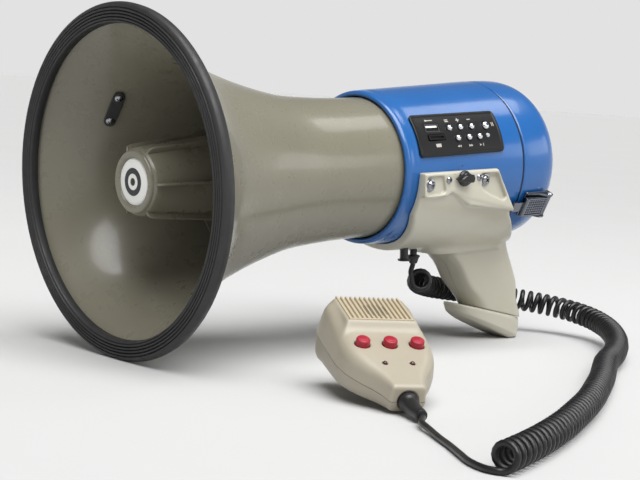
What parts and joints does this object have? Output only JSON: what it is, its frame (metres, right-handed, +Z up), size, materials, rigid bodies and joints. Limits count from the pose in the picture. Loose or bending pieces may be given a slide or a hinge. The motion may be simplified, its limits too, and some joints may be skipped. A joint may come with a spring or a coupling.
{
  "type": "handheld megaphone",
  "caption": "Handheld megaphone with a flared reflex horn, pistol grip, rear battery cover with draw latches and a hand microphone on a curly cord.",
  "frame": {"origin": "centre of the footprint of the megaphone and its hand microphone, on the surface they stand on, with the free cord left out", "axes": "+Z up; the bell faces -Y and the battery cover is at +Y; +X is the megaphone's left side, where the control panel and the microphone are"},
  "size_m": [0.4738, 0.4475, 0.2287],
  "materials": {
    "beige_shell": "gloss",
    "blue_shell": "gloss",
    "rim_rubber": "satin",
    "black_plastic": "satin",
    "badge_white": "gloss",
    "cream_shell": "satin",
    "red_key": "satin",
    "dark_lens": "gloss",
    "chrome": "polished",
    "chromed_key": "polished",
    "steel": "satin",
    "magnet": "matte",
    "diaphragm": "satin",
    "battery_wrap": "satin",
    "circuit_board": "satin",
    "cord": "satin",
    "cord_coil": "satin"
  },
  "bodies": {
    "megaphone": {"horn_bell": "beige_shell", "rim_trim": "rim_rubber", "reflex_horn": "beige_shell", "boss_badge": "badge_white", "driver_housing": "black_plastic", "driver_diaphragm": "diaphragm", "driver_magnet": "magnet", "strap_plate": "black_plastic", "strap_screw_1": "chrome", "strap_screw_2": "chrome", "strap_lug": "steel", "barrel_shell": "blue_shell", "seam_seal": "rim_rubber", "battery_holder": "black_plastic", "battery_pack": "battery_wrap", "control_panel": "black_plastic", "main_board": "circuit_board", "usb_socket": "chrome", "card_slot": "black_plastic", "panel_led": "badge_white", "grip_left_shell": "beige_shell", "grip_right_shell": "beige_shell", "grip_foot": "beige_shell", "grip_screw_left_front": "chrome", "grip_screw_left_rear": "chrome", "grip_screw_right_front": "chrome", "grip_screw_right_rear": "chrome", "switch_screw_front": "chrome", "switch_screw_rear": "chrome", "cord_gland": "black_plastic", "dc_jack": "black_plastic", "rotary_switch": "steel", "cord_tail_top": "cord", "cord_curl": "cord_coil", "cord_tail_mic": "cord"},
    "rear_cover": {"battery_cover": "blue_shell", "latch_base_left": "chrome", "latch_base_right": "chrome"},
    "left_latch": {"latch_lever_left": "chrome"},
    "right_latch": {"latch_lever_right": "chrome"},
    "selector": {"selector_knob": "black_plastic"},
    "strap_loop": {"strap_ring": "steel"},
    "panel_key_1": {"panel_button_1": "chromed_key"},
    "panel_key_2": {"panel_button_2": "chromed_key"},
    "panel_key_3": {"panel_button_3": "chromed_key"},
    "panel_key_4": {"panel_button_4": "chromed_key"},
    "panel_key_5": {"panel_button_5": "chromed_key"},
    "panel_key_6": {"panel_button_6": "chromed_key"},
    "panel_key_7": {"panel_button_7": "chromed_key"},
    "handset": {"mic_front_shell": "cream_shell", "mic_back_shell": "cream_shell", "mic_grille": "cream_shell", "mic_capsule": "black_plastic", "mic_led_1": "dark_lens", "mic_led_2": "dark_lens", "mic_hook": "steel", "mic_strain_relief": "black_plastic"},
    "handset_key_1": {"mic_button_1": "red_key"},
    "handset_key_2": {"mic_button_2": "red_key"},
    "handset_key_3": {"mic_button_3": "red_key"}
  },
  "joints": [
    {"name": "rear_cover_slide", "type": "slide", "parent": "megaphone", "child": "rear_cover", "axis": [0, 0.9976, 0.0692], "range_m": [0, 0.08]},
    {"name": "left_latch_swing", "type": "hinge", "parent": "rear_cover", "child": "left_latch", "pos_m": [-0.00631, 0.15882, 0.10806], "axis": [0.4695, -0.0611, 0.8808], "range_deg": [0, 100]},
    {"name": "right_latch_swing", "type": "hinge", "parent": "rear_cover", "child": "right_latch", "pos_m": [-0.11932, 0.15882, 0.10806], "axis": [0.4695, 0.0611, -0.8808], "range_deg": [0, 100]},
    {"name": "selector_turn", "type": "hinge", "parent": "megaphone", "child": "selector", "pos_m": [0.00318, 0.06481, 0.12665], "axis": [1, 0, 0], "range_deg": [-60, 60]},
    {"name": "strap_ring_swing", "type": "hinge", "parent": "megaphone", "child": "strap_loop", "pos_m": [-0.13421, -0.14308, 0.16551], "axis": [-0.5592, 0.0574, -0.827], "range_deg": [-150, 0]},
    {"name": "panel_key_1_press", "type": "slide", "parent": "megaphone", "child": "panel_key_1", "axis": [-0.891, 0.0314, -0.4529], "range_m": [0, 0.001], "stiffness_N_per_m": 250, "springref_m": -0.001},
    {"name": "panel_key_2_press", "type": "slide", "parent": "megaphone", "child": "panel_key_2", "axis": [-0.891, 0.0314, -0.4529], "range_m": [0, 0.001], "stiffness_N_per_m": 250, "springref_m": -0.001},
    {"name": "panel_key_3_press", "type": "slide", "parent": "megaphone", "child": "panel_key_3", "axis": [-0.891, 0.0314, -0.4529], "range_m": [0, 0.001], "stiffness_N_per_m": 250, "springref_m": -0.001},
    {"name": "panel_key_4_press", "type": "slide", "parent": "megaphone", "child": "panel_key_4", "axis": [-0.891, 0.0314, -0.4529], "range_m": [0, 0.001], "stiffness_N_per_m": 250, "springref_m": -0.001},
    {"name": "panel_key_5_press", "type": "slide", "parent": "megaphone", "child": "panel_key_5", "axis": [-0.891, 0.0314, -0.4529], "range_m": [0, 0.001], "stiffness_N_per_m": 250, "springref_m": -0.001},
    {"name": "panel_key_6_press", "type": "slide", "parent": "megaphone", "child": "panel_key_6", "axis": [-0.891, 0.0314, -0.4529], "range_m": [0, 0.001], "stiffness_N_per_m": 250, "springref_m": -0.001},
    {"name": "panel_key_7_press", "type": "slide", "parent": "megaphone", "child": "panel_key_7", "axis": [-0.891, 0.0314, -0.4529], "range_m": [0, 0.001], "stiffness_N_per_m": 250, "springref_m": -0.001},
    {"name": "handset_lift", "type": "slide", "parent": "megaphone", "child": "handset", "axis": [0, 0, 1], "range_m": [0, 0.12]},
    {"name": "handset_key_1_press", "type": "slide", "parent": "handset", "child": "handset_key_1", "axis": [-0.3798, 0.1691, -0.9095], "range_m": [0, 0.002], "stiffness_N_per_m": 300, "springref_m": -0.001},
    {"name": "handset_key_2_press", "type": "slide", "parent": "handset", "child": "handset_key_2", "axis": [-0.3798, 0.1691, -0.9095], "range_m": [0, 0.002], "stiffness_N_per_m": 300, "springref_m": -0.001},
    {"name": "handset_key_3_press", "type": "slide", "parent": "handset", "child": "handset_key_3", "axis": [-0.3798, 0.1691, -0.9095], "range_m": [0, 0.002], "stiffness_N_per_m": 300, "springref_m": -0.001}
  ]
}
